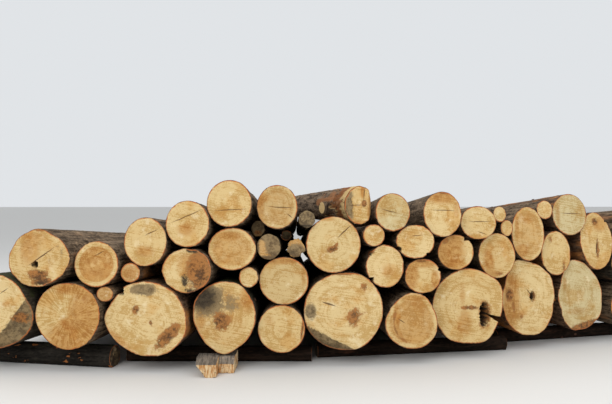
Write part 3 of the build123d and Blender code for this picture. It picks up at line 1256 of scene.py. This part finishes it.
@dataclass
class Pole(RoundWood):
    """A bearer: a round pole bedded flat.

    Args:
        around: The number of corners in a ring.
        along: The number of steps along it.
        chamfer: How far in from its ends the bark starts.
    """

    traits: Traits = Traits(Wood.NEAR_BLACK, heart=0.5, sapwood=15.0)
    # The set-back bearers' bark is darkened with painted shade.
    bark: str = "painted_shade_bark"
    scales: float = 60.0
    kind = "pole"
    slot = "bearer"
    around: int = 48
    along: int = 56
    chamfer: float = 0.003

    def shape(self, seed: int) -> Mesh:
        """Build the bearer's mesh, with its attributes.

        Args:
            seed: The seed of its unevenness.

        Returns:
            The mesh.
        """
        points = cad_points(self.node)
        middle = points.mean(axis=0)
        way = np.linalg.svd(points[:, :2] - middle[:2])[2][0]
        way = np.array((way[0], way[1], 0)) * (1 if way[0] > 0 else -1)
        out = np.array((way[1], -way[0], 0))
        run, wide = (points - middle) @ way, (points - middle) @ out
        radius = (wide.max() - wide.min()) / 2
        start = middle + way * run.min() + out * (wide.max() + wide.min()) / 2
        length = run.max() - run.min()
        steps = [length * row / self.along for row in range(1, self.along)]
        rows = [(Zone.END, share, 0.0) for share in (0.05, 0.5, 0.9)] + [(Zone.END, 1.0, self.chamfer)]
        rows += [(Zone.SIDE, 1.0, far) for far in (*steps, length - self.chamfer)]
        rows += [(Zone.END, share, length) for share in (0.9, 0.5, 0.05)]
        turns = 2 * pi * np.arange(self.around) / self.around
        places, marks, edges = [], [], []
        for zone, share, far in rows:
            u, v = radius * share * np.cos(turns), radius * share * np.sin(turns)
            ring = start + np.outer(np.full_like(u, far), way)
            places.append(ring + np.outer(u, out) + np.outer(v, (0, 0, 1)))
            marks.append(np.stack([u, v, np.full_like(u, far)], axis=1))
            edges.append(np.full_like(u, radius * (1 - share)))
        places, marks, edges = np.concatenate(places), np.concatenate(marks), np.concatenate(edges)
        places[:, 2] += points[:, 2].max() - radius - start[2]
        bark = edges < 1e-6
        press = (roughness(marks * np.array((1, 1, 0.2)), 0.05, seed) * 6 + 1) * MM
        away = marks / np.maximum(np.hypot(marks[:, 0], marks[:, 1]), 1e-6)[:, None]
        away = np.outer(away[:, 0], out) + np.outer(away[:, 1], (0, 0, 1))
        places[bark] -= (away * press[:, None])[bark]
        places[:, 2] = np.maximum(places[:, 2], 0.0)
        mesh = skin(self.node, places, [zone for zone, share, far in rows])
        mesh.flip_normals()
        self.paint(mesh, marks, edges, np.where(bark, Zone.SIDE, Zone.END), seed)
        return mesh


@dataclass
class SplitPiece(Piece):
    """A split offcut pushed in under a log: its solid's form with torn fibres.

    Args:
        cuts: How many times each edge is divided.
        tear: How deep the fibres are torn.
        fibres: The number of fibres per metre across, along and up.
    """

    kind = "split"
    slot = "offcut"
    cuts: int = 16
    tear: float = 0.007
    fibres: tuple = (40, 8, 40)

    def finishes(self) -> tuple:
        """Name its finish."""
        return ("split_wood",)

    def shape(self, seed: int) -> Mesh:
        """Build the offcut's mesh.

        Args:
            seed: The seed of its unevenness.

        Returns:
            The mesh.
        """
        solid = bpy.data.objects[self.node]
        work = bmesh.new()
        work.from_mesh(solid.data)
        work.transform(solid.matrix_world)
        bmesh.ops.remove_doubles(work, verts=work.verts, dist=1e-5)
        bmesh.ops.dissolve_limit(work, angle_limit=0.01, verts=work.verts, edges=work.edges)
        bmesh.ops.subdivide_edges(work, edges=work.edges, cuts=self.cuts, use_grid_fill=True)
        bmesh.ops.triangulate(work, faces=work.faces)
        work.normal_update()
        for corner in work.verts:
            place = Vector([far * scale for far, scale in zip(corner.co, self.fibres)])
            deep = fractal(place + Vector((seed, seed, seed))) * self.tear
            corner.co -= corner.normal * max(deep, 0)
            corner.co.z = max(corner.co.z, 0.0)
        mesh = bpy.data.meshes.new(self.node)
        work.to_mesh(mesh)
        work.free()
        return mesh


@dataclass
class Stage:
    """The floor, the soft light and the camera.

    Args:
        eye: The camera's place in the stack's own frame.
        lens: The camera's lens, in mm.
        picture_width: The photo's width in pixels. The horizon is one of them off its middle.
        floor_half: Half the floor's width.
        floor_drop: How far the floor lies below the stack.
        sky: The colour of the light all round.
        sky_strength: Its strength.
        lamps: Each light's name, its place, the place that it looks at, its power and its size.
    """

    eye: tuple = (0.0, -5.7, 1.61)
    lens: float = 35.294
    picture_width: int = 612
    floor_half: float = 240
    floor_drop: float = 0.001
    sky: tuple = (0.94, 0.97, 1.0, 1.0)
    sky_strength: float = 0.8
    lamps: tuple = (
        ("key_light", (-5, -10, 9), (0, 0.5, 0.8), 790, 8.0),
        ("fill_light", (9, -8, 5), (0.5, 0.5, 0.8), 400, 9.0),
        ("top_light", (0, 3, 11), (0, 2, 0), 700, 12.0),
    )

    def build(self, shop: Workshop) -> None:
        """Set up the stage.

        Args:
            shop: What the floor is finished with.
        """
        work = bmesh.new()
        bmesh.ops.create_grid(work, x_segments=1, y_segments=1, size=self.floor_half)
        mesh = bpy.data.meshes.new("floor")
        work.to_mesh(mesh)
        work.free()
        mesh.materials.append(shop.finishes["pale_floor"])
        floor = put("floor", mesh)
        floor.location.z = -self.floor_drop
        for name, place, at, power, size in self.lamps:
            lamp = bpy.data.lights.new(name, "AREA")
            lamp.energy = power
            lamp.size = size
            light = put(name, lamp)
            light.location = in_stack(*place)
            light.rotation_euler = (in_stack(*at) - in_stack(*place)).to_track_quat("-Z", "Y").to_euler()
        world = bpy.data.worlds.new("soft_sky")
        world.use_nodes = True
        world.node_tree.nodes["Background"].inputs[0].default_value = self.sky
        world.node_tree.nodes["Background"].inputs[1].default_value = self.sky_strength
        bpy.context.scene.world = world
        bpy.context.scene.view_settings.view_transform = "Standard"
        lens = bpy.data.cameras.new("camera")
        lens.lens = self.lens
        lens.shift_y = 1 / self.picture_width
        camera = put("camera", lens)
        camera.location = in_stack(*self.eye)
        camera.rotation_euler = (pi / 2, 0, STACK_TURN)
        bpy.context.scene.camera = camera


rot, grey, black, brown = (partial(Stain, kind=kind) for kind in Stains)

TRAITS = {
    "bottom_1": Traits(
        Wood.CREAM, pith=(-40, 20), heart=0.15, cuts=[Slope(-38, 190, 35)], cracks=[Crack(125, 200, 110, 34)],
        stains=[brown(150, 80, 90, 60, 0.6), rot(270, -50, 150, 130, 0.8)]),
    "bottom_2": Traits(
        pith=(0, -10), sapwood=50, stains=[brown(205, 20, 330, 760), brown(60, -215, 560, 270),
        brown(60, 262, 340, 110), brown(15, -70, 170, 130), rot(190, 170, 90, 130, 0.4),
        black(48, 312, 60, 30, 0.7)], rays=1.0),
    "bottom_3": Traits(
        Wood.CREAM, pith=(-30, 0), heart=0.05, sapwood=80, cuts=[Notch(134, 300, 130, 260, 385)],
        stains=[grey(-14, 275, 290, 120, 0.9), rot(-90, 85, 75, 85, 0.9), rot(57, -38, 36, 70, 0.8),
        rot(218, -165, 330, 120, 1.0, 46), brown(-250, -200, 330, 60, 0.7, -40)], ragged=10),
    "bottom_4": Traits(
        pith=(0, 10), heart=0.3, sapwood=70, stains=[grey(-170, 180, 360, 330),
        black(-210, 190, 270, 230, 0.8), rot(-29, -34, 170, 170), brown(225, 190, 150, 260, 0.8),
        grey(40, 140, 260, 200, 0.6), brown(-230, -30, 110, 200, 0.7)], ragged=9),
    "bottom_5": Traits(
        pith=(10, 0), stains=[rot(205, 10, 26, 280, 0.95, -8), brown(-130, 100, 120, 200, 0.4, 30)]),
    "bottom_6": Traits(
        Wood.CREAM, pith=(100, -60), heart=0.05, cuts=[Slope(-117, 276, 35)],
        cracks=[Crack(-143, 79, 150, -18, 9)], stains=[grey(-325, 5, 120, 150),
        rot(103, -54, 120, 190, 0.85, -15), rot(110, -40, 240, 40, 0.6, 15), rot(207, 246, 80, 80, 0.7),
        rot(-20, 380, 330, 40, 0.9)], ragged=7),
    "bottom_7": Traits(
        pith=(20, 10), heart=0.55, sapwood=40, stains=[brown(-150, 20, 70, 330),
        rot(-172, 40, 34, 190, 0.62, -10), rot(-158, -90, 34, 150, 0.66, 24),
        rot(-95, -178, 34, 150, 0.6, 55), brown(-125, -120, 60, 190, 0.9, 35), brown(20, 225, 260, 60, 0.9),
        brown(-30, -190, 220, 60, 0.8)], cracks=[Crack(-100, 0, 100, -30)]),
    "bottom_8": Traits(
        pith=(-30, -16), heart=0.05, cuts=[Notch(-24, 200, 60, 400, 390), Pit(176, -94, 80, 240, 250)],
        stains=[rot(20, -20, 200, 50, 0.85), rot(182, -94, 130, 290, 0.95), brown(-40, -160, 160, 300, 0.6),
        # Painted shade: the black oval at the bottom of the deep pit.
        brown(-60, 110, 70, 260, 0.5), black(176, -190, 70, 70, 0.9), rot(-110, -230, 90, 90, 0.4)],
        ragged=8),
    "bottom_9": Traits(
        Wood.CREAM, pith=(38, 10), heart=0.05, cuts=[Pit(38, 10, 50, 100, 90)],
        stains=[rot(-235, 35, 100, 150, 0.95), brown(-215, -30, 190, 560), rot(38, 10, 90, 120, 0.7),
        rot(-188, -90, 44, 190, 0.62, 8), rot(-95, -215, 60, 80, 0.62), brown(-120, -190, 160, 90, 0.7)],
        cracks=[Crack(10, 45, 130, -50, 7)], ragged=8),
    "bottom_10": Traits(
        Wood.PALE, pith=(0, 20), heart=0.05, stains=[rot(0, -360, 560, 90, 1.0, 16),
        brown(-220, 130, 60, 190, 0.6), brown(-60, -180, 300, 90, 0.5)], ragged=10),
    "bottom_11": Traits(Wood.TAN, heart=0.25),
    "middle_1": Traits(
        pith=(-30, -30), heart=0.25, sapwood=60, cuts=[Pit(-38, -66, 60, 60, 110)],
        stains=[rot(0, -165, 220, 110), rot(45, -220, 210, 90), black(30, -240, 130, 50, 0.7),
        # Painted shade: the black oval over the deep pit.
        brown(-95, 70, 230, 300, 0.7), brown(-60, 190, 260, 140, 0.6), black(-38, -66, 66, 50),
        grey(190, 40, 200, 300, 0.3), rot(30, 262, 280, 25, 0.8)], cracks=[Crack(23, 10, 330, 34, 6)],
        ragged=14),
    "middle_2": Traits(heart=1.0, sapwood=48, cracks=[Crack(30, 103, 120, 27)]),
    "middle_3": Traits(
        Wood.CREAM, pith=(-20, 0), stains=[rot(120, -10, 250, 400), black(-20, -95, 70, 110, 0.8),
        black(60, -195, 200, 60, 0.8), black(40, 190, 150, 50, 0.8), brown(10, 60, 200, 260, 0.7)],
        ragged=18),
    "middle_4": Traits(
        pith=(0, -10), heart=0.5, sapwood=40, stains=[brown(-40, 120, 300, 110, 0.9),
        brown(-120, 0, 110, 260, 0.7)]),
    "middle_5": Traits(
        Wood.HONEY, pith=(10, 20), stains=[brown(0, 195, 330, 70, 0.8), brown(190, 60, 50, 200, 0.5)]),
    "middle_6": Traits(
        Wood.WHEAT, pith=(-10, -15), heart=0.05, stains=[rot(-10, -45, 130, 60, 0.95, 15),
        rot(20, -10, 80, 30, 0.9, 40), brown(-60, 250, 200, 40, 0.7)], cracks=[Crack(109, 130, 200, 43, 6)]),
    "middle_7": Traits(
        Wood.CREAM, cuts=[Notch(-135, 150, 75, 250, 205), Notch(140, 165, 110, 200, 205)],
        stains=[rot(-140, 150, 120, 60, 0.8), brown(30, -40, 160, 160, 0.5)], ragged=10),
    "middle_8": Traits(
        cuts=[Notch(20, 160, 60, 200, 200)], stains=[brown(-125, 40, 150, 330), brown(0, 140, 320, 110),
        rot(-10, 152, 170, 40, 0.75), brown(125, -40, 80, 190)], ragged=12),
    "middle_9": Traits(
        Wood.CREAM, cuts=[Notch(205, 150, 90, 250, 200), Notch(-45, 160, 60, 200, 190)],
        stains=[black(-170, -70, 60, 60, 0.9)], cracks=[Crack(20, 60, 130, 5, 4)], ragged=12),
    "middle_10": Traits(
        cuts=[Notch(50, 140, 60, 200, 185)], stains=[brown(-70, 20, 300, 420),
        rot(-110, 110, 110, 60, 0.62, 30)]),
    "middle_11": Traits(
        pith=(20, 0), heart=0.3, sapwood=45, stains=[brown(-60, -190, 220, 70),
        brown(-90, -60, 110, 260, 0.9, 12), rot(20, -192, 150, 40, 0.62, -8)]),
    "middle_12": Traits(ragged=8, stains=[rot(-70, 150, 60, 120, 0.6), rot(90, -150, 50, 120, 0.7)]),
    "middle_13": Traits(
        pith=(0, -90), cuts=[Notch(60, 240, 120, 300, 330)], stains=[rot(-11, 225, 90, 90, 0.9),
        rot(10, -100, 50, 240, 0.8), brown(60, 190, 200, 160, 0.8)], cracks=[Crack(0, -60, 200, 80, 7)],
        ragged=10),
    "middle_14": Traits(Wood.TAN, heart=0.25),
    "top_1": Traits(
        pith=(0, 10), heart=0.2, cracks=[Crack(57, 90, 150, 25)], stains=[brown(0, -90, 190, 110, 0.7)]),
    "top_2": Traits(
        pith=(-10, 0), heart=0.15, cracks=[Crack(-10, 72, 350, 23)], stains=[brown(-20, -60, 190, 130, 0.6)]),
    "top_3": Traits(cracks=[Crack(14, -61, 330, 3)]),
    "top_4": Traits(
        Wood.HONEY, heart=0.4, sapwood=35, cracks=[Crack(38, -5, 270, -3), Crack(120, -86, 80, -38)],
        stains=[brown(-160, 0, 90, 300, 0.7), brown(-30, -120, 200, 90, 0.5)]),
    "top_5": Traits(
        pith=(0, -20), cuts=[Slope(0, 90, 62, Stains.BROWN), Slope(180, 105, 25)],
        stains=[grey(-115, -10, 110, 360), brown(110, -60, 70, 300), rot(45, 15, 55, 90, 0.95),
        brown(30, 140, 40, 130, 0.9), brown(0, -180, 220, 60, 0.8)], cracks=[Crack(-40, 0, 130, 2),
        Crack(45, 110, 130, 84)], ragged=12),
    "top_6": Traits(Wood.PALE, cracks=[Crack(-31, 10, 180, -14)]),
    "top_7": Traits(
        Wood.CREAM, pith=(0, -20), stains=[brown(0, 195, 360, 170), rot(30, 225, 220, 45, 0.8),
        brown(150, 60, 70, 200, 0.6)], cracks=[Crack(10, 39, 270, -2)], ragged=9),
    "top_8": Traits(cracks=[Crack(16, 11, 260, 0), Crack(40, -110, 120, -20, 4)]),
    "top_9": Traits(
        pith=(10, 30), heart=0.45, sapwood=34, stains=[brown(-80, -180, 190, 160, 0.9),
        brown(-130, 60, 60, 300, 0.8)]),
    "top_10": Traits(Wood.PALE, cracks=[Crack(17, 11, 290, -2)], stains=[brown(-150, 0, 60, 260, 0.6)]),
    "top_11": Traits(Wood.TAN, heart=0.3),
    "small_1": Traits(Wood.TAN, heart=0.25),
    "small_2": Traits(Wood.TAN, heart=0.4, sapwood=30),
    "small_3": Traits(heart=0.2),
    "small_4": Traits(
        Wood.TAN, heart=0.25, stains=[grey(0, 20, 220, 180, 0.9), rot(0, -40, 70, 40, 0.9)], ragged=14,
        worn=20),
    "small_5": Traits(
        Wood.TAN, heart=0.25, stains=[grey(62, 10, 200, 330), grey(0, 105, 300, 120), grey(-112, 0, 40, 300),
        grey(0, -110, 300, 60, 0.9)], ragged=8, worn=20),
    "small_6": Traits(
        Wood.TAN, heart=0.25, stains=[grey(5, -32, 210, 150), black(-30, -40, 70, 50, 0.6)], ragged=26,
        worn=20),
    "small_7": Traits(
        # Painted shade: the black band across the lower part of the butt.
        Wood.GREY, heart=0.25, stains=[grey(0, 0, 220, 220, 0.9), black(-10, -66, 170, 34, 0.7)], ragged=8,
        worn=20),
    "small_8": Traits(),
    "small_9": Traits(),
    "small_10": Traits(heart=0.3),
    "small_11": Traits(Wood.CREAM),
    "small_12": Traits(Wood.DUSKY, heart=0.5, sapwood=10, stains=[grey(0, 0, 160, 160, 0.9)], ragged=12),
}

BARKS = {
    **dict.fromkeys(TRAITS, "grey_bark"),
    **dict.fromkeys(("bottom_3", "bottom_9", "bottom_10", "middle_12", "middle_13"), "red_bark"),
    **dict.fromkeys(("small_2", "top_10"), "red_bark"),
    **dict.fromkeys(("bottom_1", "bottom_4", "middle_14", "small_5", "small_12"), "moss_bark"),
}

# The seeds of the first log, front bearer, rear bearer and offcut.
LOG_SEED = 1
BEARER_SEED = 61
REAR_SEED = 71
OFFCUT_SEED = 81


def main() -> None:
    """Build the stack's looks over its solids."""
    shop = Workshop()
    Stage().build(shop)
    stems = {node: Stem(node, traits, BARKS[node]) for node, traits in TRAITS.items()}
    stems["top_5"] = SkewStem("top_5", TRAITS["top_5"], "torn_bark", 90.0)
    bearers = [Pole("bearer_1", bark="bearer_bark"), Pole("bearer_2"), Pole("bearer_3"), Pole("bearer_4")]
    rear = [Pole(f"rear_bearer_{number}", bark="moss_bark") for number in (1, 2, 3)]
    offcuts = [SplitPiece("offcut_1"), SplitPiece("offcut_2")]
    batches = ((LOG_SEED, stems.values()), (BEARER_SEED, bearers), (REAR_SEED, rear), (OFFCUT_SEED, offcuts))
    pieces = [part.build(seed, shop) for first, batch in batches for seed, part in enumerate(batch, first)]
    LOG.info("all pieces: %d triangles", sum(triangles(piece) for piece in pieces))


if __name__ == "__main__":
    main()
